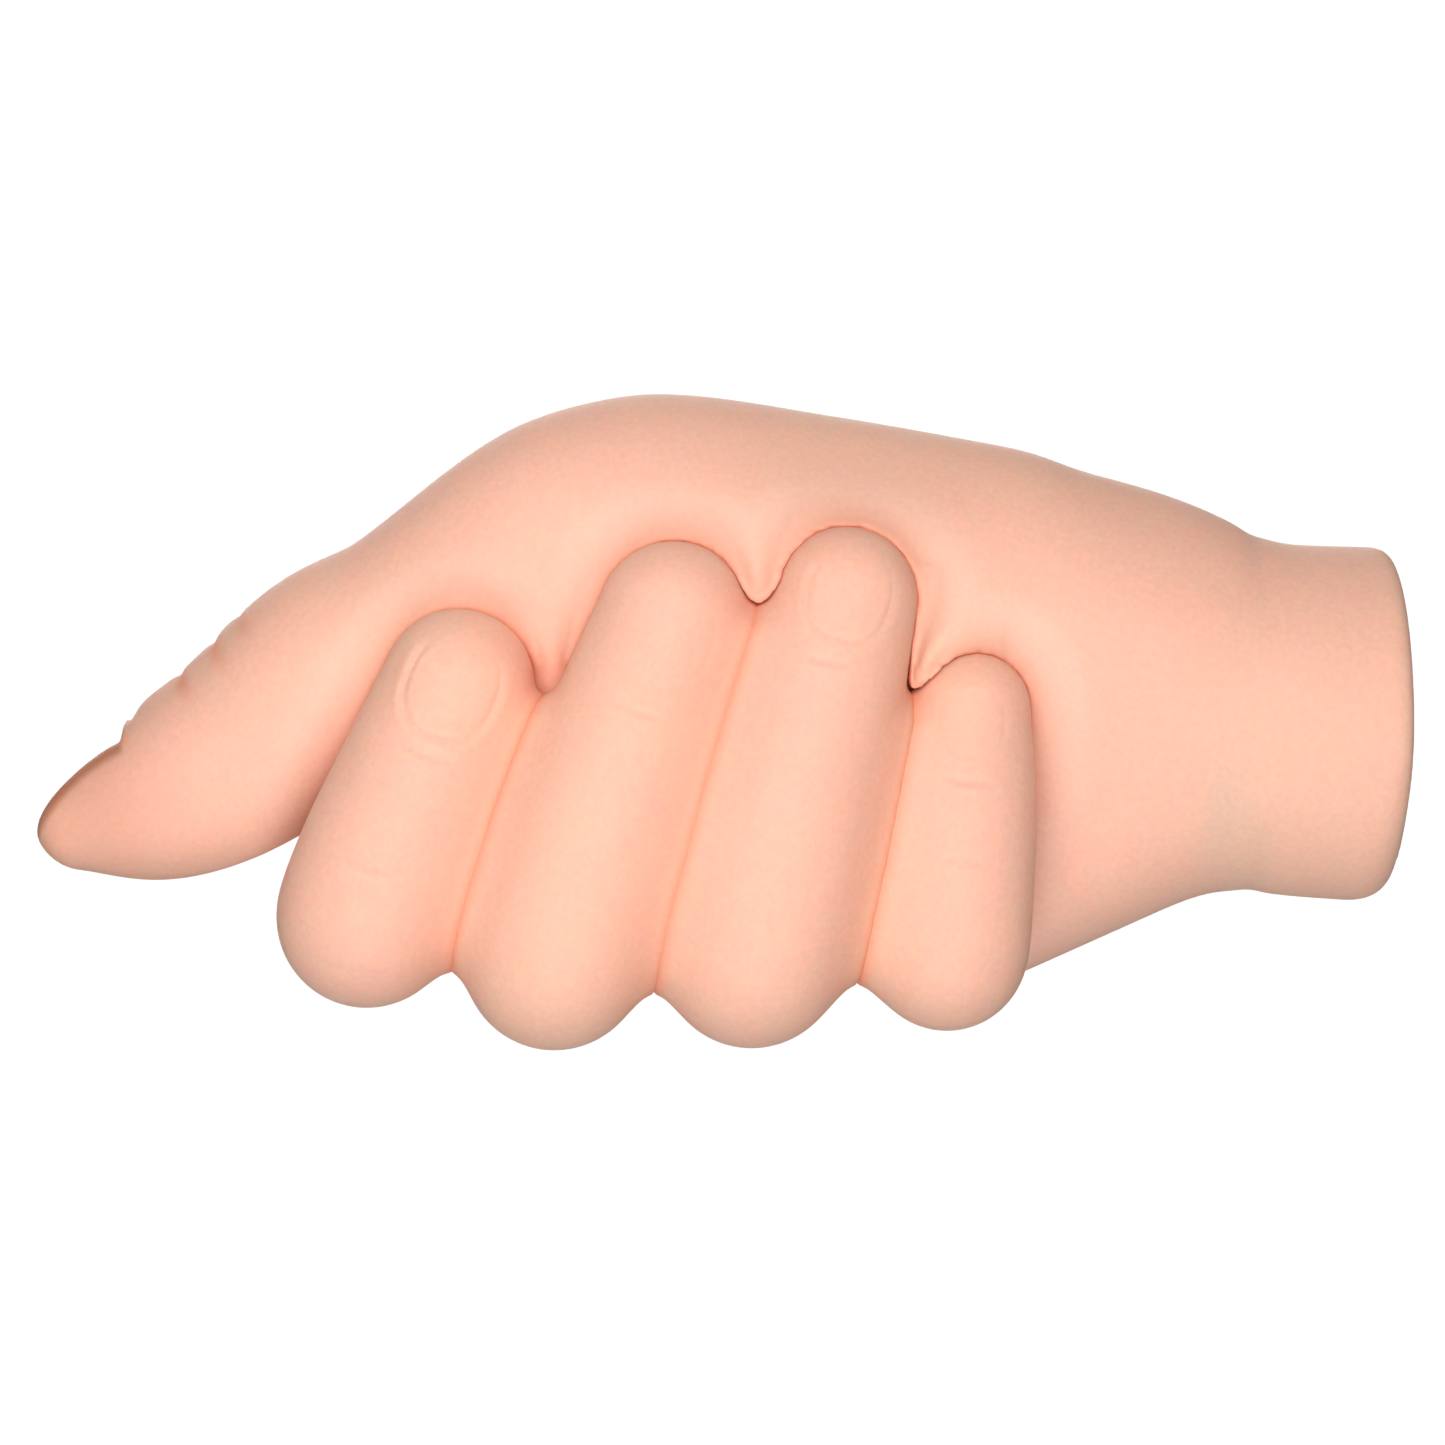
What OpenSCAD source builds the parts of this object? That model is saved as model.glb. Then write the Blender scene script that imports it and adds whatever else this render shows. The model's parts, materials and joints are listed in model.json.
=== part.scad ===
// Passive prosthetic right hand with four closed fingers and a straight thumb.
// A soft silicone skin covers a foam-filled metal skeleton whose fingers, thumb and
// wrist turn on friction hinges and stay where they are put.
//
// Frame: millimetres, origin at the centre of the cuff's open rim on the wrist axis,
// +X out of the cuff towards the forearm, -Y out of the palm, +Z towards the thumb side.

/* [Skin] */
// Thickness of the silicone skin over the palm and the cuff
skin_t = 2; // [1.6:0.1:2.2]
// Outer radius of the wrist cuff
cuff_r = 20; // [19.8:0.1:20.6]
// Length of the straight cuff
cuff_len = 18; // [17:0.5:19]

/* [Knuckles] */
// Radius of every hinge pin
pin_r = 2; // [1.6:0.1:2.1]
// Half the width of a link's eye between its washers
eye_half = 3; // [2.6:0.1:3]
// Thickness of one ear of a knuckle bracket
ear_t = 1.8; // [1.5:0.1:1.9]

/* [Wrist] */
// Wall radius of the threaded hole that takes an M12 x 1.5 stud
thread_r = 5.25; // [5:0.05:5.4]
// Depth of the threaded hole
thread_len = 17.5; // [12:0.5:18]
// Radius of the spindle that the hand turns on
spindle_r = 7.2; // [7:0.1:7.4]
// Radius of the round wrist plate
plate_r = 16.2; // [15.5:0.1:16.3]

/* [Frame] */
// Thickness of the skeleton plate
frame_t = 3; // [2.5:0.1:3]

/* [Hidden] */

$fn = 64;
soft_fn = 20;       // facets of the soft, blended shapes
run_gap = 0.05;     // radial clearance of a turning fit
snug = 0.02;        // radial clearance of a fixed fit
soft_gap = 0.35;    // room between a soft piece and the hard piece inside it
body_gap = 0.5;     // room between soft pieces that move past each other
foam_gap = 0.3;     // room between the skin and the foam

skin_rgb = [0.95, 0.74, 0.64];
foam_rgb = [0.93, 0.88, 0.72];
nylon_rgb = [0.93, 0.92, 0.88];
alloy_rgb = [0.76, 0.77, 0.79];
steel_rgb = [0.62, 0.63, 0.65];
brass_rgb = [0.80, 0.66, 0.36];

// Fingers. Each has its knuckle centre, its slant about Y in degrees, and the centres of its
// middle joint, end joint and tip as [y, z, radius] from the knuckle in the finger's own plane.
INDEX = [[-114.5, 12, -19], 22, [-32, -3, 9.6], [-34, 12, 9.2], [-34, 25, 8.2]];
MIDDLE = [[-93.5, 14, -22.5], 19.5, [-34, -3, 10.1], [-36.5, 19, 9.5], [-35.5, 36, 8.1]];
RING = [[-72, 13.5, -22], 14.5, [-33.5, -3, 10.1], [-36, 20, 9.1], [-34.5, 36.6, 7.8]];
LITTLE = [[-51, 11, -21.5], 5.5, [-29, -3, 8.8], [-30.5, 12, 8], [-29.5, 23, 6.4]];
FINGERS = [INDEX, MIDDLE, RING, LITTLE];
finger_open = 60;   // degrees that a finger swings open

// Thumb: its hinge point, and beads [x, y, z, radius] from its root to its tip.
THUMB = [-95, -3, 19.5];
THUMB_BEADS = [[-97, -3, 18, 13.4], [-112, -2, 9.2, 12.5], [-128, -4, -2.5, 11.9],
               [-138.5, -5, -8, 9.5], [-148, -5.5, -11, 6]];
thumb_open = 25;    // degrees that the thumb swings away from the index finger
thumb_ball = 14.6;  // radius of the ball that the thumb's root turns round
thumb_mid = -4;     // y of the middle of the thumb's link
thumb_eye = 2.6;    // half the thickness of the thumb's link

// Palm, as beads [x, y, z, radius]; each list below is the hull of its beads.
knuckle_bead_r = 9.2;
function knuckle_bead(f) = [f[0].x, f[0].y, f[0].z, knuckle_bead_r];
PALM_THUMB = [THUMB.x, THUMB.y, THUMB.z, 14];
PALM_TOP = [-85, -4, 21.5, 15.2];
PALM_MOUND = [-66, -3.5, 19, 16.2];
PALM_HEEL_TOP = [-46, -0.5, 14.5, 17];
PALM_HEEL = [-48, 6, -18, 12.4];
PALM_WRIST = [-18, 0, 1.6, 20];
BACK_THUMB = [-95, 5, 17, 13.5];
BACK_TOP = [-66, 7, 18, 15];
PAD_INDEX = [-104, 0, -2, 10];
PAD_TOP = [-90, -2, 9, 10];
PAD_MID = [-64, -1, -3, 10];
PALM_HULLS = [
    [PALM_THUMB, PALM_TOP, PALM_MOUND, PALM_HEEL_TOP],
    [PALM_HEEL_TOP, PALM_WRIST, PALM_HEEL],
    [BACK_THUMB, knuckle_bead(INDEX), knuckle_bead(MIDDLE), PAD_INDEX],
    [BACK_THUMB, BACK_TOP, knuckle_bead(MIDDLE), knuckle_bead(RING), PAD_TOP],
    [BACK_TOP, PALM_HEEL_TOP, knuckle_bead(RING), knuckle_bead(LITTLE)],
    [PALM_HEEL_TOP, knuckle_bead(LITTLE), PALM_HEEL, PALM_WRIST],
    [PAD_INDEX, PAD_TOP, PAD_MID, PALM_MOUND],
    [PAD_MID, PALM_HEEL_TOP, PALM_HEEL]
];

// Skeleton plate, and where its brackets sit on a finger's line above the knuckle.
frame_y = 11;                   // front face of the plate
bracket_z0 = 5.5;               // lower edge of a bracket's web
bracket_z1 = 13;              // upper edge of a bracket's web
bracket_half = 5.2;             // half the width of a bracket's web
web_t = 3;
ear_in = bracket_half - ear_t;  // inner face of an ear
ear_r = 4.2;
eye_r = 4;
bar_z = -1.5;                   // middle of a link's bar, below the pin
bar_half_h = 3;
core_r = 5;
knob_r = 5.3;                   // rounded ends of a core
core_tip_r = 3;
thumb_knob_r = 6;
screw_r = 1.25;                 // M2.5
screw_hole_r = 1.3;
head_r = 2.2;
head_h = 1.5;
small_screw_x = 2.9;            // a bracket's screws, either side of its middle
small_screw_z = 9.5;

// Wrist, along X.
plate_x0 = -3.5;
plate_x1 = 0;
flange_x0 = -6.5;
flange_r = 14;
nose_r = 9;
washer_x0 = -7.5;
housing_x0 = -22.5;
housing_x1 = -7.6;
housing_r = 17;
bush_r = 9.2;
spring_x0 = -24.7;
nut_x0 = -28.5;
nut_r = 8.3;
stud_r = 6;                     // threaded inner end of the spindle
lug_x0 = -43;
lug_y0 = 8.6;
lug_half = 8;
m3_r = 1.5;
m3_hole_r = 1.55;
m3_head_r = 2.8;
FRAME_SCREWS = [[-30, -4.5], [-30, 4.5], [-39, -4.5], [-39, 4.5]];
plate_screw_pcr = 11.5;         // radius of the circle that the wrist plate's screws sit on
THUMB_SCREWS = [[-83, 10.5], [-83, 17]];
ring_r0 = 16.5;
ring_r1 = 17.4;

// ---------- helpers ----------

module bead(b, grow = 0) {
    translate([b[0], b[1], b[2]]) sphere(r = b[3] + grow, $fn = soft_fn);
}

module bead_hull(beads, grow = 0) {
    hull() for (b = beads) bead(b, grow);
}

module bead_chain(beads, grow = 0) {
    for (i = [0 : len(beads) - 2]) bead_hull([beads[i], beads[i + 1]], grow);
}

// A cylinder along +X that starts at x0
module along_x(x0, x1, r) {
    translate([x0, 0, 0]) rotate([0, 90, 0]) cylinder(r = r, h = x1 - x0);
}

// A straight cone from point a to point b
module rod(a, b, r1, r2) {
    d = b - a;
    len_ab = norm(d);
    translate(a) rotate([0, acos(d.z / len_ab), atan2(d.y, d.x)]) cylinder(r1 = r1, r2 = r2, h = len_ab);
}

// A finger's own frame: X along its pin, Z up its length, the knuckle at the origin
module at_finger(f) {
    translate(f[0]) rotate([0, f[1], 0]) children();
}

function plane_point(p) = [0, p[0], p[1]];
function plane_bead(p) = [0, p[0], p[1], p[2]];

// ---------- fingers, each in its own frame ----------

// The skin starts ahead of the knuckle, so that it clears the palm as the finger opens
function root_bead(f) = [0, -12 - f[2][2], -2.5, f[2][2] - 0.2];
function finger_beads(f) = [root_bead(f), plane_bead(f[2]), plane_bead(f[3]), plane_bead(f[4])];
function core_beads(f, r) = [
    [0, f[2][0], f[2][1], r], [0, f[3][0], f[3][1], r], [0, f[4][0], f[4][1], core_tip_r + r - knob_r]
];

module finger_skin(f) {
    color(skin_rgb) difference() {
        bead_chain(finger_beads(f));
        bead_chain(core_beads(f, knob_r + 2 * soft_gap));
        translate([-eye_half - soft_gap, f[2][0], bar_z - bar_half_h - soft_gap])
            cube([2 * (eye_half + soft_gap), -f[2][0], 2 * (bar_half_h + soft_gap)]);
        translate(plane_point(f[2])) rotate([0, 90, 0])
            cylinder(r = head_r + soft_gap, h = 2 * (knob_r + head_h + soft_gap), center = true, $fn = soft_fn);
    }
}

module link_bar(f, gap = 0) {
    translate([-eye_half - gap, f[2][0] - 1, bar_z - bar_half_h - gap])
        cube([2 * (eye_half + gap), 1 - f[2][0], 2 * (bar_half_h + gap)]);
}

module finger_core(f) {
    pip = plane_point(f[2]);
    dip = plane_point(f[3]);
    tip = plane_point(f[4]);
    color(nylon_rgb) difference() {
        union() {
            translate(pip) sphere(r = knob_r);
            rod(pip, dip, core_r, core_r - 0.3);
            translate(dip) sphere(r = knob_r - 0.2);
            rod(dip, tip, core_r - 0.4, core_tip_r - 0.2);
            translate(tip) sphere(r = core_tip_r);
        }
        link_bar(f, snug);
        translate(pip) rotate([0, 90, 0]) cylinder(r = screw_hole_r, h = 4 * knob_r, center = true);
        for (s = [-1, 1]) translate(pip + [s * 2 * knob_r - s * 1, 0, 0]) rotate([0, 90, 0])
            cylinder(r = head_r + snug, h = 2 * knob_r, center = true);
    }
}

module finger_link(f) {
    color(alloy_rgb) difference() {
        union() {
            rotate([0, 90, 0]) cylinder(r = eye_r, h = 2 * eye_half, center = true);
            link_bar(f);
        }
        rotate([0, 90, 0]) cylinder(r = pin_r + run_gap, h = 4 * eye_half, center = true);
        translate(plane_point(f[2])) rotate([0, 90, 0])
            cylinder(r = screw_hole_r, h = 4 * eye_half, center = true);
    }
}

// Cross screw that holds the core on the link, with its nut
module finger_screw(f) {
    reach = knob_r - 1;
    color(steel_rgb) translate(plane_point(f[2])) {
        rotate([0, 90, 0]) cylinder(r = screw_r, h = 2 * reach, center = true);
        along_x(reach, reach + head_h, head_r);
        along_x(-reach - head_h, -reach, head_r);
    }
}

// Room that a finger sweeps as it opens
module finger_sweep(f, grow) {
    steps = 5;
    at_finger(f) for (k = [0 : steps])
        rotate([k * finger_open / steps, 0, 0]) bead_chain(finger_beads(f), grow);
}

// ---------- knuckles ----------

module knuckle_slot(f) {
    half = bracket_half + 1.2;
    at_finger(f) {
        translate([-half, -25, -15]) cube([2 * half, 25, 18]);
        translate([-half, -1, -15]) cube([2 * half, 6.2, 14]);
    }
}

function web_back(f) = frame_y - f[0].y;

module knuckle_bracket(f) {
    back = web_back(f);
    at_finger(f) difference() {
        union() {
            for (s = [-1, 1]) translate([s * (ear_in + ear_t / 2), 0, 0]) {
                rotate([0, 90, 0]) cylinder(r = ear_r, h = ear_t, center = true);
                translate([-ear_t / 2, back - 3.4, 0]) cube([ear_t, 6.4 - back, bracket_z0 - 0.3]);
                translate([-ear_t / 2, back - 3.4, 1]) cube([ear_t, 3.4, bracket_z1 - 1]);
            }
            translate([-bracket_half, back - web_t, bracket_z0])
                cube([2 * bracket_half, web_t, bracket_z1 - bracket_z0]);
        }
        rotate([0, 90, 0]) cylinder(r = pin_r + snug, h = 4 * bracket_half, center = true);
        for (s = [-1, 1]) translate([s * small_screw_x, back + 1, small_screw_z])
            rotate([90, 0, 0]) cylinder(r = screw_hole_r, h = 2 * web_t);
    }
}

module bracket_screw_pair(f) {
    back = web_back(f);
    at_finger(f) for (s = [-1, 1]) translate([s * small_screw_x, back + frame_t, small_screw_z])
        rotate([90, 0, 0]) {
            cylinder(r = screw_r, h = frame_t + web_t - 0.4);
            translate([0, 0, -head_h]) cylinder(r = head_r, h = head_h);
        }
}

module knuckle_pin(f) {
    at_finger(f) rotate([0, 90, 0]) cylinder(r = pin_r, h = 2 * bracket_half, center = true);
}

module knuckle_washer_pair(f) {
    gap = 0.1;
    at_finger(f) for (s = [-1, 1]) scale_x(s) difference() {
        along_x(eye_half + gap, ear_in, eye_r);
        along_x(0, bracket_half, pin_r + snug);
    }
}

module scale_x(s) {
    if (s < 0) mirror([1, 0, 0]) children();
    else children();
}

// ---------- palm ----------

// The half of space that the thumb points into
module thumb_side() {
    translate(THUMB) rotate([0, thumb_pitch(), 0]) translate([2, -40, -40]) cube(80);
}

// Everything outside the thumb's ball that the thumb sweeps as it opens
module thumb_sweep(grow) {
    steps = 3;
    difference() {
        for (k = [0 : steps]) about_thumb(k * thumb_open / steps) intersection() {
            bead_chain(THUMB_BEADS, grow);
            thumb_side();
        }
        translate(THUMB) sphere(r = thumb_ball - grow, $fn = 32);
    }
}

module about_thumb(angle) {
    translate(THUMB) rotate([0, angle, 0]) translate(-THUMB) children();
}

module palm_mass(grow) {
    for (h = PALM_HULLS) bead_hull(h, grow);
}

module palm_solid(grow, clear) {
    difference() {
        palm_mass(grow);
        for (f = FINGERS) finger_sweep(f, clear);
        thumb_sweep(clear);
        along_x(-cuff_len + 1, 30, 60);
    }
}

module palm_skin() {
    color(skin_rgb) difference() {
        union() {
            palm_solid(0, body_gap);
            along_x(-cuff_len - 4, 0, cuff_r);
        }
        palm_solid(-skin_t, body_gap + skin_t);
        along_x(-cuff_len - 10, 1, cuff_r - skin_t - 0.4);
        for (f = FINGERS) knuckle_slot(f);
        thumb_slot();
    }
}

module thumb_slot() {
    for (a = [0 : 12.5 : thumb_open]) about_thumb(a)
        translate([THUMB.x, thumb_mid, THUMB.z]) rotate([0, thumb_pitch(), 0])
            translate([0, -thumb_eye - 0.6, -5]) cube([30, 2 * thumb_eye + 1.2, 10]);
}

module palm_foam() {
    gap = soft_gap;
    color(foam_rgb) difference() {
        palm_solid(-skin_t - foam_gap, body_gap + skin_t + foam_gap);
        along_x(nut_x0 - 1, 30, 60);
        frame_block(gap);
        lug_block(gap);
        for (f = FINGERS) {
            knuckle_slot(f);
            at_finger(f) translate([-bracket_half - gap, web_back(f) - 6, -8])
                cube([2 * (bracket_half + gap), 14, bracket_z1 + 8 + gap]);
        }
        thumb_bracket_block(gap);
        translate([THUMB.x, thumb_ear_y[0] - gap, THUMB.z - 5 - gap])
            cube([8, thumb_ear_y[1] + 2 - thumb_ear_y[0] + 2 * gap, 7.5 + 2 * gap]);
        thumb_slot();
        translate(THUMB) sphere(r = 8.5, $fn = soft_fn);
    }
}

module cuff_ring() {
    color(nylon_rgb) difference() {
        along_x(housing_x1 + 0.1, -0.5, ring_r1);
        along_x(housing_x1 - 1, 1, ring_r0);
    }
}

// ---------- skeleton ----------

// Corner of a bracket's web on the plate, as [x, z]
function web_corner(f, side, z) = [
    f[0].x + z * sin(f[1]) + side * (bracket_half + 0.6) * cos(f[1]),
    f[0].z + z * cos(f[1]) - side * (bracket_half + 0.6) * sin(f[1])
];

FRAME_OUTLINE = concat(
    [[-25, 8], [-25, -8], [-38, -10]],
    [for (f = [LITTLE, RING, MIDDLE, INDEX], s = [1, -1]) web_corner(f, s, bracket_z0)],
    [web_corner(INDEX, -1, bracket_z1), [-97, 7], [-88, 17.5], [-87, 20], [-76, 20], [-50, 11]]
);
FRAME_HOLES = [[-97, 1, 4.5], [-83, 2, 4.5], [-70, 5, 5.5], [-57, 2, 4.5]];

module frame_outline(grow = 0) {
    polygon(FRAME_OUTLINE);
}

module frame_block(gap) {
    translate([0, frame_y + frame_t + head_h + 0.6, 0]) rotate([90, 0, 0])
        linear_extrude(frame_t + head_h + 0.6 + gap) offset(delta = gap) frame_outline();
}

module frame_plate() {
    color(alloy_rgb) difference() {
        translate([0, frame_y + frame_t, 0]) rotate([90, 0, 0]) linear_extrude(frame_t) frame_outline();
        for (f = FINGERS, s = [-1, 1]) at_finger(f)
            translate([s * small_screw_x, web_back(f) + 2 * frame_t, small_screw_z])
                rotate([90, 0, 0]) cylinder(r = screw_hole_r, h = 3 * frame_t);
        for (p = FRAME_SCREWS) translate([p[0], frame_y + 2 * frame_t, p[1]])
            rotate([90, 0, 0]) cylinder(r = m3_hole_r, h = 3 * frame_t);
        for (p = THUMB_SCREWS) translate([p[0], frame_y + 2 * frame_t, p[1]])
            rotate([90, 0, 0]) cylinder(r = screw_hole_r, h = 3 * frame_t);
        for (h = FRAME_HOLES) translate([h[0], frame_y + 2 * frame_t, h[1]])
            rotate([90, 0, 0]) cylinder(r = h[2], h = 3 * frame_t);
    }
}

module lug_block(gap = 0) {
    translate([lug_x0 - gap, lug_y0 - gap, -lug_half - gap])
        cube([housing_x0 - lug_x0 + 4, frame_y - lug_y0 + 2 * gap, 2 * (lug_half + gap)]);
}

module wrist_housing() {
    color(alloy_rgb) difference() {
        union() {
            along_x(housing_x0, housing_x1, housing_r);
            lug_block();
        }
        along_x(housing_x0 - 1, housing_x1 + 1, bush_r + snug);
        for (p = FRAME_SCREWS) translate([p[0], frame_y + 1, p[1]])
            rotate([90, 0, 0]) cylinder(r = m3_hole_r, h = 6);
    }
}

module wrist_bush() {
    color(nylon_rgb) difference() {
        along_x(housing_x0, housing_x1, bush_r);
        along_x(housing_x0 - 1, housing_x1 + 1, spindle_r + run_gap);
    }
}

module frame_screws() {
    color(steel_rgb) for (p = FRAME_SCREWS) translate([p[0], frame_y + frame_t, p[1]])
        rotate([90, 0, 0]) {
            cylinder(r = m3_r, h = frame_y + frame_t - lug_y0 - 0.2);
            translate([0, 0, -head_h]) cylinder(r = m3_head_r, h = head_h);
        }
}

// ---------- thumb ----------

thumb_ear_y = [thumb_mid - thumb_eye - 0.4 - 2, thumb_mid + thumb_eye + 0.4];
thumb_ip = [THUMB_BEADS[2][0], thumb_mid, THUMB_BEADS[2][2]];
// Angle about Y that turns +X onto the line from the hinge to the thumb's end joint
function thumb_pitch() = -atan2(thumb_ip.z - THUMB.z, thumb_ip.x - THUMB.x);

module thumb_bracket_block(gap = 0) {
    translate([-88 - gap, thumb_ear_y[0] - gap, 8 - gap]) cube([8 + 2 * gap, frame_y - thumb_ear_y[0] + gap, 14 + 2 * gap]);
}

module thumb_bracket() {
    color(alloy_rgb) difference() {
        union() {
            thumb_bracket_block();
            for (y = thumb_ear_y) {
                translate([THUMB.x, y, THUMB.z]) rotate([-90, 0, 0]) cylinder(r = ear_r + 0.5, h = 2);
                translate([THUMB.x, y, THUMB.z - 5]) cube([10, 2, 7.5]);
            }
        }
        translate([-90, thumb_mid + thumb_eye + 2.4, 7]) cube([5, frame_y - 3 - thumb_mid - thumb_eye - 2.4, 16]);
        translate([THUMB.x, 0, THUMB.z]) rotate([90, 0, 0]) cylinder(r = pin_r + snug, h = 60, center = true);
        for (p = THUMB_SCREWS) translate([p[0], frame_y + 1, p[1]])
            rotate([90, 0, 0]) cylinder(r = screw_hole_r, h = 6);
    }
}

module thumb_bracket_screws() {
    color(steel_rgb) for (p = THUMB_SCREWS) translate([p[0], frame_y + frame_t, p[1]])
        rotate([90, 0, 0]) {
            cylinder(r = screw_r, h = frame_t + 4.6);
            translate([0, 0, -head_h]) cylinder(r = head_r, h = head_h);
        }
}

module thumb_pin() {
    color(steel_rgb) translate([THUMB.x, thumb_mid, THUMB.z]) rotate([90, 0, 0])
        cylinder(r = pin_r, h = 2 * (thumb_eye + 2.4), center = true);
}

module thumb_washers() {
    gap = 0.1;
    color(nylon_rgb) for (y = [thumb_mid - thumb_eye - 0.4, thumb_mid + thumb_eye + gap])
        translate([THUMB.x, y, THUMB.z]) rotate([-90, 0, 0]) difference() {
            cylinder(r = eye_r, h = 0.4 - gap);
            translate([0, 0, -1]) cylinder(r = pin_r + snug, h = 3);
        }
}

thumb_bar_len = norm([thumb_ip.x - THUMB.x, thumb_ip.z - THUMB.z]);

module thumb_bar(gap = 0) {
    translate([THUMB.x, thumb_mid, THUMB.z]) rotate([0, thumb_pitch(), 0])
        translate([0, -thumb_eye - gap, -3.2 - gap])
            cube([thumb_bar_len + 1, 2 * (thumb_eye + gap), 2 * (3.2 + gap)]);
}

module thumb_link() {
    color(alloy_rgb) difference() {
        union() {
            translate([THUMB.x, thumb_mid, THUMB.z]) rotate([90, 0, 0])
                cylinder(r = eye_r, h = 2 * thumb_eye, center = true);
            thumb_bar();
        }
        translate([THUMB.x, thumb_mid, THUMB.z]) rotate([90, 0, 0])
            cylinder(r = pin_r + run_gap, h = 30, center = true);
        translate(thumb_ip) rotate([90, 0, 0]) cylinder(r = screw_hole_r, h = 30, center = true);
    }
}

thumb_tip = [THUMB_BEADS[4][0], THUMB_BEADS[4][1], THUMB_BEADS[4][2]];

module thumb_core() {
    color(nylon_rgb) difference() {
        union() {
            translate(thumb_ip) rotate([90, 0, 0]) sphere(r = thumb_knob_r);
            rod(thumb_ip, thumb_tip, core_r, core_tip_r - 0.3);
            translate(thumb_tip) sphere(r = core_tip_r);
        }
        thumb_bar(snug);
        translate(thumb_ip) rotate([90, 0, 0]) {
            cylinder(r = screw_hole_r, h = 30, center = true);
            for (s = [-1, 1]) translate([0, 0, s * (knob_r + 4)])
                cylinder(r = head_r + snug, h = 10, center = true);
        }
    }
}

module thumb_screw() {
    reach = knob_r - 1;
    color(steel_rgb) translate(thumb_ip) rotate([90, 0, 0]) {
        cylinder(r = screw_r, h = 2 * reach, center = true);
        for (s = [-1, 1]) translate([0, 0, s * (reach + head_h / 2)]) cylinder(r = head_r, h = head_h, center = true);
    }
}

module thumb_skin() {
    grow = 2 * soft_gap;
    color(skin_rgb) difference() {
        bead_chain(THUMB_BEADS);
        translate(THUMB) sphere(r = thumb_ball, $fn = 32);
        bead_chain([concat(thumb_ip, [thumb_knob_r + grow]), concat(thumb_tip, [core_tip_r + grow])]);
        thumb_bar(soft_gap);
        translate(thumb_ip) rotate([90, 0, 0])
            cylinder(r = head_r + soft_gap, h = 2 * (knob_r + head_h), center = true, $fn = soft_fn);
    }
}

// ---------- wrist unit ----------

module wrist_spindle() {
    color(steel_rgb) difference() {
        union() {
            along_x(flange_x0 + 0.5, plate_x1, nose_r);
            along_x(flange_x0, plate_x0, flange_r);
            along_x(housing_x0 - 0.1, flange_x0 + 0.5, spindle_r);
            along_x(nut_x0 - 0.5, housing_x0, stud_r);
        }
        along_x(plate_x1 - thread_len, plate_x1 + 1, thread_r);
        for (a = [0 : 120 : 240]) rotate([a, 0, 0]) translate([0, 0, plate_screw_pcr])
            along_x(flange_x0 - 1, plate_x0 + 1, m3_hole_r);
    }
}

module wrist_plate() {
    color(alloy_rgb) difference() {
        along_x(plate_x0, plate_x1, plate_r);
        along_x(plate_x0 - 1, plate_x1 + 1, nose_r + snug);
        for (a = [0 : 120 : 240]) rotate([a, 0, 0]) translate([0, 0, plate_screw_pcr]) {
            along_x(plate_x0 - 1, plate_x1 + 1, m3_hole_r);
            along_x(plate_x1 - head_h, plate_x1 + 1, head_r + snug);
        }
    }
}

module wrist_plate_screws() {
    color(steel_rgb) for (a = [0 : 120 : 240]) rotate([a, 0, 0]) translate([0, 0, plate_screw_pcr]) difference() {
        union() {
            along_x(flange_x0 + 0.3, plate_x1 - head_h, m3_r);
            along_x(plate_x1 - head_h, plate_x1 - 0.1, head_r);
        }
        translate([plate_x1 - 1, 0, 0]) rotate([0, 90, 0]) cylinder(r = 1.15, h = 2, $fn = 6);
    }
}

module brake_washer() {
    color(nylon_rgb) difference() {
        along_x(washer_x0, flange_x0, flange_r);
        along_x(washer_x0 - 1, flange_x0 + 1, spindle_r + run_gap);
    }
}

// Two cupped steel discs, back to back
module disc_springs() {
    cup = (housing_x0 - 0.1 - spring_x0) / 2;
    wall = 0.5;
    outer = nut_r - 0.1;
    color(steel_rgb) for (s = [0, 1]) translate([spring_x0 + cup, 0, 0]) scale_x(1 - 2 * s) rotate([0, 90, 0])
        rotate_extrude() polygon([[stud_r + 0.1, 0.02], [stud_r + 0.1, wall], [outer, cup], [outer, cup - wall]]);
}

module spindle_nut() {
    color(steel_rgb) difference() {
        translate([nut_x0, 0, 0]) rotate([0, 90, 0]) cylinder(r = nut_r, h = spring_x0 - nut_x0, $fn = 6);
        along_x(nut_x0 - 1, spring_x0 + 1, stud_r + snug);
    }
}

// ---------- nodes ----------

wrist_spindle();
wrist_plate();
wrist_plate_screws();
brake_washer();
disc_springs();
spindle_nut();
palm_skin();
palm_foam();
cuff_ring();
wrist_housing();
wrist_bush();
frame_plate();
frame_screws();
color(alloy_rgb) for (f = FINGERS) knuckle_bracket(f);  // knuckle_brackets
color(steel_rgb) for (f = FINGERS) bracket_screw_pair(f);  // bracket_screws
color(steel_rgb) for (f = FINGERS) knuckle_pin(f);  // knuckle_pins
color(nylon_rgb) for (f = FINGERS) knuckle_washer_pair(f);  // knuckle_washers
thumb_bracket();
thumb_bracket_screws();
thumb_pin();
thumb_washers();
at_finger(INDEX) finger_skin(INDEX);  // index_skin
at_finger(INDEX) finger_core(INDEX);  // index_core
at_finger(INDEX) finger_link(INDEX);  // index_link
at_finger(INDEX) finger_screw(INDEX);  // index_screw
at_finger(MIDDLE) finger_skin(MIDDLE);  // middle_skin
at_finger(MIDDLE) finger_core(MIDDLE);  // middle_core
at_finger(MIDDLE) finger_link(MIDDLE);  // middle_link
at_finger(MIDDLE) finger_screw(MIDDLE);  // middle_screw
at_finger(RING) finger_skin(RING);  // ring_skin
at_finger(RING) finger_core(RING);  // ring_core
at_finger(RING) finger_link(RING);  // ring_link
at_finger(RING) finger_screw(RING);  // ring_screw
at_finger(LITTLE) finger_skin(LITTLE);  // little_skin
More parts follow.
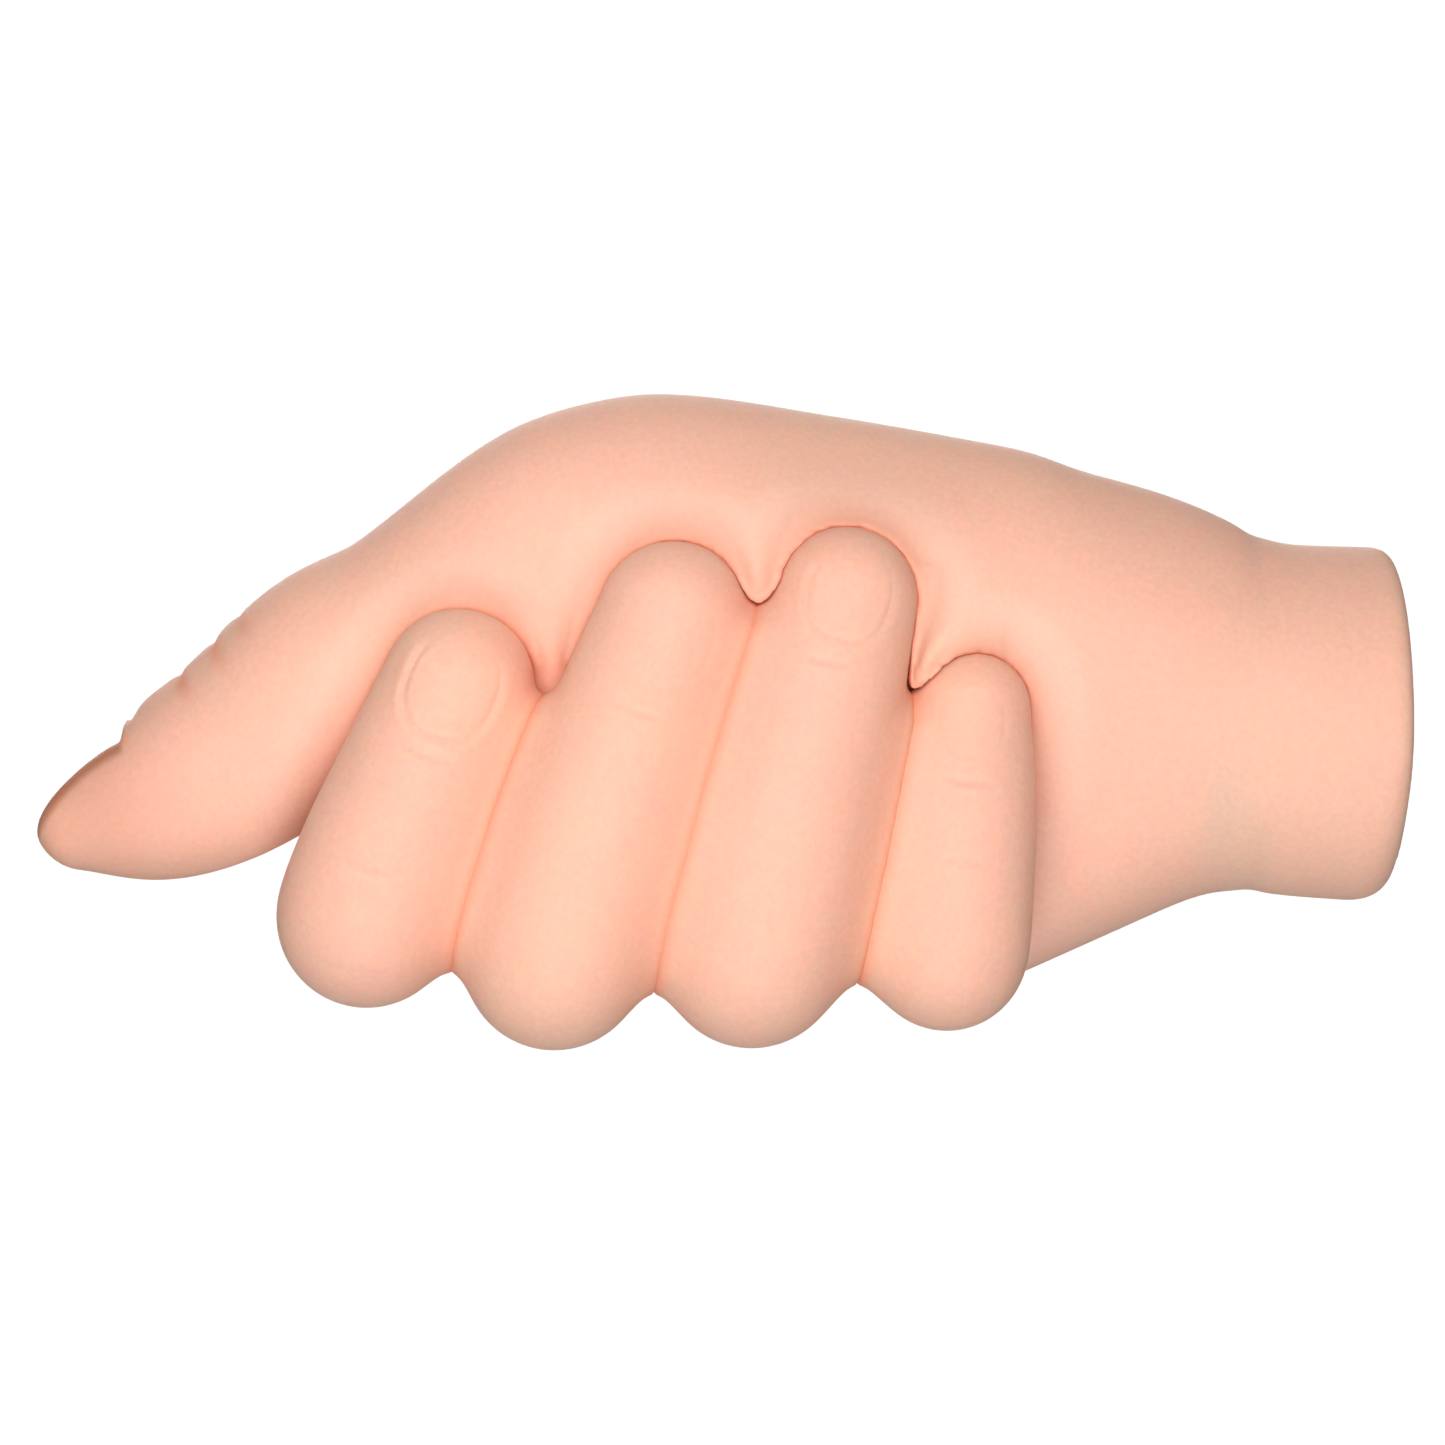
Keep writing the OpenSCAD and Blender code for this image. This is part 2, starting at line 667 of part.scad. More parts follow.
at_finger(LITTLE) finger_core(LITTLE);  // little_core
at_finger(LITTLE) finger_link(LITTLE);  // little_link
at_finger(LITTLE) finger_screw(LITTLE);  // little_screw
thumb_skin();
thumb_core();
thumb_link();
thumb_screw();
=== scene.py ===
"""Passive prosthetic hand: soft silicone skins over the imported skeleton, with materials, light, camera.

Shapes are worked out in millimetres, as distance fields on one lattice of voxels, and become meshes in
metres.
"""
import json
import math

import bpy
import numpy as np
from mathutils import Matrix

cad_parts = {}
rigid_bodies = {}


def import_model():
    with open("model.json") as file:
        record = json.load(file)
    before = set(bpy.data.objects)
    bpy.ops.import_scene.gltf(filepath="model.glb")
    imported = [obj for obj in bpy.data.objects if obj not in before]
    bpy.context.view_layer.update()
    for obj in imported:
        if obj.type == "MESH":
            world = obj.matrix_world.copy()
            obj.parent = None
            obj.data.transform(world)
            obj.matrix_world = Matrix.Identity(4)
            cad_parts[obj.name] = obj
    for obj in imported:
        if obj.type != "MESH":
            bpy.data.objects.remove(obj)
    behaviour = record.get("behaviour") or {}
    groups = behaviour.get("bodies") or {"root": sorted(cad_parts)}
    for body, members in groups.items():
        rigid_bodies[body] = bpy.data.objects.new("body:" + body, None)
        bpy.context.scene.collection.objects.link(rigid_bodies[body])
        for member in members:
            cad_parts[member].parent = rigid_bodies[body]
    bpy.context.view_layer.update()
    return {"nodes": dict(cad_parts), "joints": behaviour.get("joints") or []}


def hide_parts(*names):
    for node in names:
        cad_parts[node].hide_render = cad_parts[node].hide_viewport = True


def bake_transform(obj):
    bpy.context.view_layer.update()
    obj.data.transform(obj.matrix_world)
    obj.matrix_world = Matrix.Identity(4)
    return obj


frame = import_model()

import openvdb
from mathutils import Vector

JOINTS = {joint["name"]: joint for joint in frame["joints"]}
MM = 0.001


# ---------- camera ----------

def add_camera():
    """A long lens on the palm's side, level with the wrist's axis."""
    data = bpy.data.cameras.new("camera")
    data.lens = 104.5
    data.sensor_width = 36
    camera = bpy.data.objects.new("camera", data)
    camera.location = (-0.0762, -0.480, 0)
    camera.rotation_euler = (math.radians(90), 0, 0)
    bpy.context.scene.collection.objects.link(camera)
    bpy.context.scene.camera = camera


# ---------- distance fields ----------

VOXEL = 0.5
COARSE = 2                       # the palm's broad form is worked out on every second voxel
LOW = (-160.0, -38.0, -44.0)
HIGH = (4.0, 28.0, 44.0)


def lattice(step):
    return [np.arange(lo, hi + step / 2, step, dtype=np.float32) for lo, hi in zip(LOW, HIGH)]


def spread(axes):
    """The three axes, shaped so that sums of them fill the block."""
    x, y, z = axes
    return x[:, None, None], y[None, :, None], z[None, None, :]


def balls(axes, beads):
    """Distance to a union of balls [x, y, z, radius]."""
    x, y, z = spread(axes)
    field = None
    for cx, cy, cz, r in beads:
        d = np.sqrt(((x - cx) ** 2 + (y - cy) ** 2) + (z - cz) ** 2) - np.float32(r)
        field = d if field is None else np.minimum(field, d, out=field)
    return field


def spline(points, step=1.2):
    """Balls closely spaced on a smooth curve through the beads."""
    p = np.array(points, float)
    p = np.vstack([2 * p[0] - p[1], p, 2 * p[-1] - p[-2]])
    out = []
    for a, b, c, d in zip(p[:-3], p[1:-2], p[2:-1], p[3:]):
        pairs = ((a, b), (b, c), (c, d))
        ab, bc, cd = (max(np.linalg.norm((v - u)[:3]), 1e-3) ** 0.5 for u, v in pairs)
        m1 = (c - b) + bc * ((b - a) / ab - (c - a) / (ab + bc))
        m2 = (c - b) + bc * ((d - c) / cd - (d - b) / (bc + cd))
        n = max(2, int(np.linalg.norm((c - b)[:3]) / step))
        for t in np.arange(n) / n:
            h = t * t * (3 - 2 * t)
            out.append(b * (1 - h) + c * h + m1 * t * (1 - t) ** 2 - m2 * t * t * (1 - t))
    out.append(p[-2])
    return out


def patch(beads, n):
    """Balls that fill the hull of a few beads."""
    p = np.array(beads, float)
    shares = [[n]] if len(p) == 1 else [[i] for i in range(n + 1)]
    while len(shares[0]) < len(p):
        last = len(shares[0]) == len(p) - 1
        shares = [s + [k] for s in shares for k in range(n - sum(s) if last else 0, n - sum(s) + 1)]
    return [np.array(s) @ p / n for s in shares]


def blur(field, reach):
    """A running mean over 2 * reach + 1 voxels along each axis."""
    n = 2 * reach + 1
    for axis in range(3):
        pad = [(0, 0)] * 3
        pad[axis] = (reach + 1, reach)
        total = np.cumsum(np.pad(field, pad, mode="edge"), axis=axis, dtype=np.float64)
        front = np.take(total, range(n, total.shape[axis]), axis=axis)
        back = np.take(total, range(0, total.shape[axis] - n), axis=axis)
        field = ((front - back) / n).astype(np.float32)
    return field


def refine(field):
    """The field on a lattice of half the step."""
    for axis in range(3):
        field = np.moveaxis(field, axis, 0)
        fine = np.empty((2 * len(field) - 1,) + field.shape[1:], np.float32)
        fine[::2] = field
        fine[1::2] = (field[:-1] + field[1:]) / 2
        field = np.moveaxis(fine, 0, axis)
    return field


def smooth_min(a, b, k):
    h = np.clip(0.5 + 0.5 * (b - a) / k, 0, 1)
    return b + (a - b) * h - k * h * (1 - h)


def smooth_max(a, b, k):
    return -smooth_min(-a, -b, k)


def ease(t):
    t = np.clip(t, 0, 1)
    return t * t * (3 - 2 * t)


def window(low, high):
    """Slices of the fine lattice that hold a box in millimetres."""
    return tuple(
        slice(max(0, int((lo - start) / VOXEL)), int((hi - start) / VOXEL) + 2)
        for lo, hi, start in zip(low, high, LOW)
    )


# ---------- the hand's form, in millimetres ----------

def bead_from(joint, slant, y, z, r):
    """A ball given in a finger's own plane, from its knuckle."""
    return [joint[0] + z * math.sin(slant), joint[1] + y, joint[2] + z * math.cos(slant), r]


# Each finger's balls [back, up, radius]: neck, knuckle, first bone's middle, middle joint, second
# bone's middle, end joint and tip
FINGERS = {
    "index": [
        [0.5, 16, 8.4], [0, 0, 9.6], [-17, -2.6, 9.6], [-30, -1.9, 10.0],
        [-32, 5, 9.9], [-32, 12, 9.4], [-32, 25, 8.3],
    ],
    "middle": [
        [0.5, 16, 8.6], [0, 0, 9.7], [-18, -3.4, 9.7], [-34, -2.4, 10.3],
        [-36.5, 9, 10.4], [-36.5, 19, 9.9], [-35.5, 36, 8.4],
    ],
    "ring": [
        [0.5, 16, 8.6], [0, 0, 9.6], [-18, -3.6, 9.6], [-33.5, -2.6, 10.3],
        [-36.3, 9, 10.2], [-36, 20, 9.6], [-34.5, 36.6, 8.1],
    ],
    "little": [
        [0.5, 14, 8.0], [0, 0, 8.8], [-16, -3.3, 8.6], [-29, -2.8, 8.9],
        [-30.4, 5, 8.6], [-30.5, 12, 8.1], [-29.5, 23, 6.5],
    ],
}
# Balls [x, y, z, radius]
THUMB = [
    [-85, -5, 21.7, 14.6], [-93.4, -6, 21.4, 13.3], [-111.5, -6, 9.6, 12.3], [-119.5, -6, 5.2, 12.6],
    [-128, -6, -1.7, 11.7], [-138.5, -6, -7.9, 9.8], [-148, -6.4, -10.8, 5.9],
]
RIDGE = [[-46, -3, 13.8, 17.4], [-66, -4, 18.4, 16.3], [-85, -5, 21.6, 15.4], [-93.4, -6, 21.4, 13.4]]
WRIST = [
    [2, 0, -0.4, 20.1], [-13, 0, 0.4, 19.7], [-17.5, 0, 1.0, 19.1],
    [-30, 0, 6.9, 19.3], [-46, -2, 13.3, 17.2],
]
THUMB_NAIL = (-148.4, -5, -5.8)     # a point on the nail plate
NAIL_OUT = (-0.651, 0.2, 0.732)     # the way the plate faces
NAIL_BEND = 23                      # radius of its curve
THUMB_LEAN = (-0.86, 0, 0.51)       # the way the skin's weight passes from the palm to the thumb
THUMB_OWN = (12, 10)                # where the form turns from the palm's to the thumb's, and how slowly
FINGER_OWN = (-5, 12)               # the same for a finger
SEAT_END = (-26, 14)                # where a finger begins to leave its seat in the palm, and how slowly
NAIL_FOLD = 52.2                    # where the plate starts, from the thumb's hinge
NAIL_RAMP = (14, 5.6, 6.6)          # how it comes down there: from how high, how far before, how long
THUMB_FOLDS = [(52.2, 0.55), (43.2, 0.6), (38, 0.5), (34, 0.35)]     # skin folds: from the hinge, depth
FINGER_ORDER = {name: i for i, name in enumerate(FINGERS)}
VALLEY_TOPS = [4, 13, 3]            # how high each valley between two fingers is filled
VALLEY_FEET = [4.6, 5.3, 7.0]       # how much it is filled at its foot
FILL_LEAST, FILL_MOST = 0.6, 6.4
POCKETS = [4, 11.8, 1.8]            # how low the palm fills the pocket between two fingertips
WEB_FOOT = -30.3                    # the lowest the webs between the knuckles reach
# Skin folds across the curled fingers: height above the knuckle, from and to across, sag, depth
FOLDS = {
    "index": [(17.2, -5, 4.5, -1.1, 0.20), (3.2, -6.4, 2.4, -0.4, 0.20)],
    "middle": [(25.2, -3.8, 3.4, -0.4, 0.16), (13.8, -2.8, 2, -0.3, 0.12)],
    "ring": [(29.6, -3.6, 3, -0.6, 0.14), (9.4, -3, 2, -0.2, 0.10)],
    "little": [(15.3, -3.2, 3, -0.4, 0.20), (6.5, -2.4, 3, -0.3, 0.20)],
}
# Fingernails: across, height above the knuckle, half width, half height, depth
NAILS = {
    "index": (-0.1, 24.6, 5.0, 5.7, 0.20),
    "middle": (0, 33.6, 5.1, 5.6, 0.06),
    "ring": (0.3, 36.9, 4.6, 5.0, 0.12),
    "little": (0, 21.6, 3.5, 3.9, 0.05),
}
# The webs' share of a knuckle's size
WEB = {"index": 0.72, "middle": 0.8, "ring": 0.87, "little": 0.87}
UNDERARM = [-28, 2.5, -2.2, 18.4]
HEEL = [-48, 6.5, -18.0, 12.6]
CUFF_BORE = 17.6, -22               # radius, and where it ends
BACK_THUMB = [-95, 5, 17, 14]
BACK_TOP = [-66, 6, 18, 15.4]
PAD_INDEX = [-104, -2, -2, 11]
PAD_TOP = [-90, -7, 10, 12]
PAD_MID = [-64, -7, 0, 13]
PAD_THUMB = [-66, -9, 15.5, 15]


class Digit:
    """A finger or the thumb: its hinge, and the beads along it in the row frame."""

    def __init__(self, name, joint):
        self.name = name
        self.hinge = np.array(joint["pos_m"]) / MM
        self.axis = np.array(joint["axis"])
        if name == "thumb":
            self.beads = THUMB
            along = np.array(THUMB[4][:3]) - self.hinge
            along[1] = 0
            self.along = along / np.linalg.norm(along)
        else:
            self.slant = math.atan2(-self.axis[2], self.axis[0])
            self.beads = [bead_from(self.hinge, self.slant, *bead) for bead in FINGERS[name]]

    def own(self, x, y, z):
        """Coordinates in the finger's own frame: across, forward of the knuckle (negative), and up."""
        dx, dz = x - self.hinge[0], z - self.hinge[2]
        across = dx * math.cos(self.slant) - dz * math.sin(self.slant)
        up = dx * math.sin(self.slant) + dz * math.cos(self.slant)
        return across, y - self.hinge[1], up

    @staticmethod
    def round_knuckle(across, forward, up):
        """Distance from the knuckle's axis, counted longer towards its flanks."""
        return np.sqrt(forward ** 2 + up ** 2 + (ROUND * across) ** 2)


def palm_beads(digits):
    """Balls that fill the palm, the heel, the back and the wrist."""
    knuckle = {}
    for d in digits[:-1]:
        x, y, z, r = d.beads[1]
        knuckle[d.name] = [x, y, z, WEB[d.name] * r]
    groups = [
        [RIDGE[0], RIDGE[1], HEEL],
        [RIDGE[0], UNDERARM, HEEL],
        [RIDGE[0], UNDERARM, WRIST[2]],
        [BACK_THUMB, knuckle["index"], knuckle["middle"], PAD_INDEX],
        [BACK_THUMB, BACK_TOP, knuckle["middle"], PAD_TOP],
        [BACK_TOP, knuckle["middle"], knuckle["ring"], PAD_MID],
        [BACK_TOP, RIDGE[0], knuckle["ring"], knuckle["little"]],
        [RIDGE[0], knuckle["little"], HEEL],
        [knuckle["little"], HEEL, UNDERARM],
        [PAD_INDEX, PAD_TOP, PAD_MID, PAD_THUMB],
        [RIDGE[1], RIDGE[2], PAD_TOP, PAD_THUMB],
        [PAD_MID, PAD_THUMB, RIDGE[0], HEEL],
    ]
    balls_in = spline(RIDGE, 3) + spline(WRIST, 3)
    for group in groups:
        balls_in += patch(group, 5)
    return balls_in


FEATHER = 3.0       # how far the palm's skin and a digit's run on under each other
SLOPE = 0.02        # how fast they dive, in mm per mm squared
REACH = 8.0         # how far a digit's piece takes in the palm round it
NECK = 14.0         # how far round its knuckle a finger's piece reaches
ROUND = 0.6         # how much sooner it ends towards its flanks
SEAM = NECK - FEATHER
PALM_FACE = 9.0     # forward of its hinge by this, a finger's piece is all its own
KNUCKLE_ROOM = 8.2  # the palm's skin keeps at least this far from a knuckle's axis
BLUR_LOSS = 0.35    # what the blurs take off the palm's form
MARGIN = 9.0        # how far a digit's window goes past its balls
BLEND = 3.5         # how softly the palm swells to a finger that rests on it
TOUCH = -0.12       # soft faces that rest on each other meet this far in
LAP = 0.5           # how far neighbouring fingers' skins run on under each other
# Painted shade where soft faces touch, darkening the creases there: its strength, and how far it spreads
PALM_SHADE = (0.52, 2.1)
TIP_SHADE = (0.35, 1.6)
FLANK_SHADE = [(0.65, 1.5), (0.85, 2.8)]      # beside the neighbour towards the thumb, and the other
CREASE_SHADE = 0.6            # painted shade on the line where two fingers meet
CREASE_WIDTH = 1.7
FIRM_REACH = 1.8              # how far round a seam the light scatters less
TURN = math.radians(17)      # how far below straight forward a finger's skin is counted from its knuckle


class Hand:
    """The fields of the palm and the digits, all on the fine lattice."""

    def __init__(self):
        self.digits = [Digit(name, JOINTS[name + "_knuckle"]) for name in FINGERS]
        self.digits.append(Digit("thumb", JOINTS["thumb_swing"]))
        coarse = lattice(VOXEL * COARSE)
        beads = palm_beads(self.digits)
        for d in self.digits:
            beads += spline(d.beads if d.name == "thumb" else d.beads[:2], 2)
        whole = balls(coarse, beads)
        for reach in (2, 2, 1):
            whole = blur(whole, reach)
        whole -= BLUR_LOSS
        whole = refine(whole)
        self.whole = blur(whole, 1)
        self.axes = [axis[:n] for axis, n in zip(lattice(VOXEL), self.whole.shape)]
        for d in self.digits:
            self.measure(d)
        fingers = self.digits[:-1]
        self.trim_webs(fingers)
        self.solid = np.full_like(self.whole, 99)
        for i, d in enumerate(fingers):
            self.press(d, fingers[max(0, i - 1):i] + fingers[i + 1:i + 2])
            d.seat = TOUCH - d.tube - d.hidden
            d.field = self.digit(d)
            self.solid[d.window] = np.minimum(self.solid[d.window], d.field)
        self.find_contact_shade(fingers)

    def trim_webs(self, fingers):
        """Keeps the webs between the knuckles above the fingers' undersides."""
        for a, b in zip(fingers[:-1], fingers[1:]):
            part = self.whole[a.window]
            own = balls(a.axes, spline(a.beads[:4], 1.2))
            own = np.minimum(own, balls(a.axes, spline(b.beads[:4], 1.2)))
            foot = WEB_FOOT - spread(a.axes)[2]
            self.whole[a.window] = np.maximum(part, np.minimum(smooth_max(part, foot, 2.0), own + 0.3))

    def measure(self, d):
        """The digit's distance field in a window round it, and what each voxel there belongs to.

        share: how far the form there is the digit's own and not the palm's, from 0 to 1
        hidden: keeps the palm from following the finger where it leaves its knuckle
        depth: how far inside the finger's piece, and room: how far outside the hollow for its knuckle
        """
        b = np.array(d.beads)
        d.window = window((b[:, :3] - b[:, 3:]).min(0) - MARGIN, (b[:, :3] + b[:, 3:]).max(0) + MARGIN)
        d.axes = [axis[s] for axis, s in zip(self.axes, d.window)]
        d.tube = balls(d.axes, spline(d.beads, 0.9))
        if d.name == "thumb":
            x, y, z = spread(d.axes)
            d.run = (x - d.hinge[0]) * d.along[0] + (z - d.hinge[2]) * d.along[2]
            high, before, length = NAIL_RAMP
            ramp = high * (1 - ease((d.run - NAIL_FOLD + before) / length))
            plate = self.thumb_nail(x, y, z) - ramp
            d.tube = smooth_max(d.tube, plate, 1.3)
            lean = (x - d.hinge[0]) * THUMB_LEAN[0] + (z - d.hinge[2]) * THUMB_LEAN[2]
            d.share = ease((lean - THUMB_OWN[0]) / THUMB_OWN[1])
            return
        across, forward, up = d.own(*spread(d.axes))
        inside = np.maximum(NECK - d.round_knuckle(across, forward, up), -(forward + PALM_FACE))
        run = -forward * math.cos(TURN) - up * math.sin(TURN)
        d.share = ease((run - FINGER_OWN[0]) / FINGER_OWN[1])
        d.hidden = 10 * ease((forward - SEAT_END[0]) / SEAT_END[1])
        d.depth = np.minimum(REACH - d.tube, inside)
        d.room = np.minimum(np.sqrt(forward ** 2 + up ** 2) - KNUCKLE_ROOM, forward + 13)

    @staticmethod
    def thumb_nail(x, y, z):
        """Height over the thumb's nail plate, a face curved both ways."""
        dx, dy, dz = x - THUMB_NAIL[0], y - THUMB_NAIL[1], z - THUMB_NAIL[2]
        above = dx * NAIL_OUT[0] + dy * NAIL_OUT[1] + dz * NAIL_OUT[2]
        far = np.minimum(dx ** 2 + dy ** 2 + dz ** 2 - above ** 2, 200)
        return above + far / (2 * NAIL_BEND)

    def find_contact_shade(self, fingers):
        """Painted shade where something rests on a skin, and where less light scatters because something
        rests on it or passes under it, from 0 to 1, for the palm and the fingers.
        """
        self.contact_shade = np.zeros_like(self.whole)
        self.firm = np.zeros_like(self.whole)
        for d in fingers:
            shown = d.hidden < 1
            palm = self.whole[d.window]
            past = d.depth - FEATHER
            # painted shade on the palm round each fingertip that rests on it
            painted_shade = PALM_SHADE[0] * np.exp(-np.maximum(d.tube, 0) / PALM_SHADE[1])
            painted_shade = painted_shade * shown * ease(palm / 1.5 + 1)
            self.contact_shade[d.window] = np.maximum(self.contact_shade[d.window], painted_shade)
            seam = np.exp(-(np.minimum(past, 0) / FIRM_REACH) ** 2)
            firm = np.maximum(np.exp(-d.tube ** 2) * shown, seam)
            self.firm[d.window] = np.maximum(self.firm[d.window], firm)
            # painted shade on the finger where it rests on the palm, and on the line where it meets its
            # neighbour
            painted_shade = TIP_SHADE[0] * np.exp(-np.maximum(palm, 0) / TIP_SHADE[1]) * shown
            crease = CREASE_SHADE * d.crease * (d.hidden < 9)
            d.contact_shade = np.maximum(np.maximum(d.contact_shade, painted_shade), crease)
            seam = np.exp(-(np.maximum(past, 0) / FIRM_REACH) ** 2)
            d.firm = np.maximum(np.maximum(np.exp(-palm ** 2) * shown, seam), d.crease)

    def press(self, d, others):
        """Fills the valley to each neighbour a little, flattens the flanks where they meet, and paints
        shade on the flank beside each neighbour.
        """
        x, y, z = spread(d.axes)
        forward = d.own(x, y, z)[1]
        own = d.tube
        d.crease = np.zeros_like(own)
        d.limit = np.full_like(own, -99)
        d.contact_shade = np.zeros_like(own)
        for other in others:
            pair = min(FINGER_ORDER[d.name], FINGER_ORDER[other.name])
            high = ease((VALLEY_TOPS[pair] - z) / 8 + 0.5) * ease((-forward - 12) / 10)
            foot = VALLEY_FEET[pair]
            fill = FILL_LEAST + high * (foot + (FILL_MOST - foot) * ease((z + 30) / 14))
            apart = balls(d.axes, spline(other.beads[1:], 1.2))
            # painted shade on the flank beside the neighbour, stronger beside the one away from the thumb
            strength, reach = FLANK_SHADE[int(other.hinge[0] > d.hinge[0])]
            painted_shade = strength * np.exp(-np.maximum(apart, 0) / reach) * (forward < -8)
            d.contact_shade = np.maximum(d.contact_shade, painted_shade)
            d.crease = np.maximum(d.crease, np.exp(-((own - apart) / CREASE_WIDTH) ** 2) * (apart < 5))
            d.limit = np.maximum(d.limit, (own - apart) / 2)
            d.tube = smooth_min(d.tube, apart, fill)
        d.tube = d.tube + 0.25 * np.clip(d.limit, 0, 4)

    def palm(self):
        """The palm and thumb, with a seat for each fingertip, hollows for the knuckles and the bore."""
        thumb = self.digits[-1]
        field = self.whole.copy()
        field[thumb.window] += (thumb.tube - field[thumb.window]) * thumb.share
        bare = field.copy()
        fingers = self.digits[:-1]
        for d in fingers:
            lip = smooth_min(bare[d.window], d.tube + 0.25 + d.hidden, BLEND)
            field[d.window] = np.minimum(field[d.window], lip)
        for top, a, b in zip(POCKETS, fingers[:-1], fingers[1:]):
            low = ease((top - spread(self.axes)[2]) / 8 + 0.5)
            pocket = smooth_min(self.widen(a), self.widen(b), 0.1 + FILL_MOST * (1 - low))
            field = np.minimum(field, smooth_min(bare, pocket + 0.3, BLEND))
        for d in fingers:
            part = field[d.window]
            part = part + SLOPE * np.clip(d.depth - FEATHER, 0, 2 * FEATHER) ** 2
            taken = np.minimum(np.minimum(d.depth - 2 * FEATHER, -self.solid[d.window] - 1.2), d.room)
            part = smooth_max(part, taken, 1.2)
            field[d.window] = smooth_max(part, d.seat, 0.6)
        x, y, z = spread(self.axes)
        field = smooth_max(field, x, 2.5 + 2.8 * ease(-z / 18))
        bore = np.maximum(np.sqrt(y ** 2 + z ** 2) - CUFF_BORE[0], CUFF_BORE[1] - x)
        return smooth_max(field, -bore, 0.6)

    def widen(self, d):
        """A finger's field over the whole lattice."""
        wide = np.full_like(self.whole, 99)
        wide[d.window] = np.maximum(d.tube, d.limit) + d.hidden
        return wide

    def digit(self, d):
        """A finger's skin, which goes on under the palm's at its knuckle and its neighbours' beside it."""
        around = self.whole[d.window] + SLOPE * np.clip(FEATHER - d.depth, 0, 2 * FEATHER) ** 2
        field = around * (1 - d.share) + d.tube * d.share
        return smooth_max(smooth_max(field, -d.depth, 0.6), d.limit - LAP, 0.9)


# ---------- meshes ----------

def mesh_piece(name, field, axes):
    """A closed mesh of a field's zero surface."""
    grid = openvdb.FloatGrid(4.0)
    grid.copyFromArray(np.clip(field, -4, 4).astype(np.float32), tolerance=0.0)
    points, triangles, quads = grid.convertToPolygons(isovalue=0.0, adaptivity=0.0)
    origin = np.array([axis[0] for axis in axes])
    points = (points * VOXEL + origin) * MM
    mesh = bpy.data.meshes.new(name)
    faces = quads.tolist() + triangles.tolist()
    mesh.from_pydata(points.tolist(), [], faces)
    mesh.validate()
    mesh.polygons.foreach_set("use_smooth", [True] * len(mesh.polygons))
    piece = bpy.data.objects.new(name, mesh)
    bpy.context.scene.collection.objects.link(piece)
    return piece


def subdivide(piece):
    """Applies a subdivision surface."""
    modifier = piece.modifiers.new("subdivision", "SUBSURF")
    modifier.levels = modifier.render_levels = 1
    dg = bpy.context.evaluated_depsgraph_get()
    mesh = bpy.data.meshes.new_from_object(piece.evaluated_get(dg))
    piece.modifiers.clear()
    old = piece.data
    piece.data = mesh
    bpy.data.meshes.remove(old)


def points_of(mesh, what="vertices", key="co"):
    values = np.empty(len(mesh.vertices) * 3, np.float64)
    getattr(mesh, what).foreach_get(key, values)
    return values.reshape(-1, 3)


def groove(distance, width):
    """A soft groove with slightly raised banks."""
    near = np.exp(-(distance / width) ** 2)
    banks = np.exp(-((np.abs(distance) - 2.2 * width) / width) ** 2)
    return 0.3 * banks - near


def finger_relief(digit, points, normals):
    """Heights in mm: nails and skin folds on a finger's outer face."""
    across, _, up = digit.own(*points.T)
    height = np.zeros(len(points))
    for level, start, end, sag, depth in FOLDS[digit.name]:
        t = (across - start) / (end - start)
        line = level + sag * (4 * t * (1 - t) - 0.5)
        ends = ease(t / 0.3) * ease((1 - t) / 0.3)
        height += depth * ends * groove(up - line, 0.42)
    centre, level, half_width, half_height, depth = NAILS[digit.name]
    a, u = (across - centre) / half_width, (up - level) / half_height
    r = (np.abs(a) ** 2.5 + np.abs(u) ** 2.5) ** 0.4
    edge = (r - 1) * half_width
    fold = ease((0.9 - u) / 0.7)
    height += depth * fold * (groove(edge, 0.38) + 0.55 * ease(1 - edge / 1.6) * (edge > 0))
    height -= 0.35 * depth * ease(-edge / 1.2)
    return height * ease((-normals[:, 1] - 0.15) / 0.4)


def thumb_relief(digit, points, normals):
    """Heights in mm: the skin folds over the thumb's joint and round its nail, and one at the wrist."""
    run = (points - digit.hinge) @ digit.along
    over = np.array([digit.along[2] * 0.94, 0.34, -digit.along[0] * 0.94])
    facing = ease((normals @ over - 0.5) / 0.45)
    height = np.zeros(len(points))
    for place, depth in THUMB_FOLDS:
        height -= 0.42 * depth * np.exp(-((run - place) / 0.55) ** 2)
    for (end, depth), (start, _) in zip(THUMB_FOLDS[:-1], THUMB_FOLDS[1:]):
        t = np.clip((run - start) / (end - start), 0, 1)
        height += 0.17 * np.sin(math.pi * t) ** 1.2
    height -= 0.75 * np.exp(-((run - NAIL_FOLD + 1.3) / 1.7) ** 2)
    wrist_fold = np.exp(-((points[:, 0] + 16) / 1.5) ** 2) * ease((np.abs(points[:, 2] - 1) - 6) / 12)
    return height * facing - 0.22 * wrist_fold


def back_relief(digits, points, normals):
    """Heights in mm on the back of the hand: knuckle folds and faint tendons."""
    height = np.zeros(len(points))
    for digit in digits:
        across, back, up = digit.own(*points.T)
        near = ease((11.5 - np.abs(across)) / 4) * ease((back - 1) / 5)
        reach = digit.round_knuckle(across, back, up)
        for place, depth in ((SEAM, 0.22), (SEAM + 2.2, 0.10)):
            height -= depth * near * (up > 0) * np.exp(-((reach - place) / 0.5) ** 2)
        for level in (0.6, -2.4, -5.0):
            bent = up - level - 0.014 * across ** 2
            height -= 0.12 * near * np.exp(-(bent / 0.45) ** 2)
        drift = across - 0.10 * up * (digit.hinge[0] + 78) / 36
        tendon = np.exp(-(drift / 2.6) ** 2) * ease((up - 8) / 10) * ease((46 - up) / 18)
        height += 0.55 * tendon * ease((normals[:, 1] - 0.3) / 0.4)
    return height


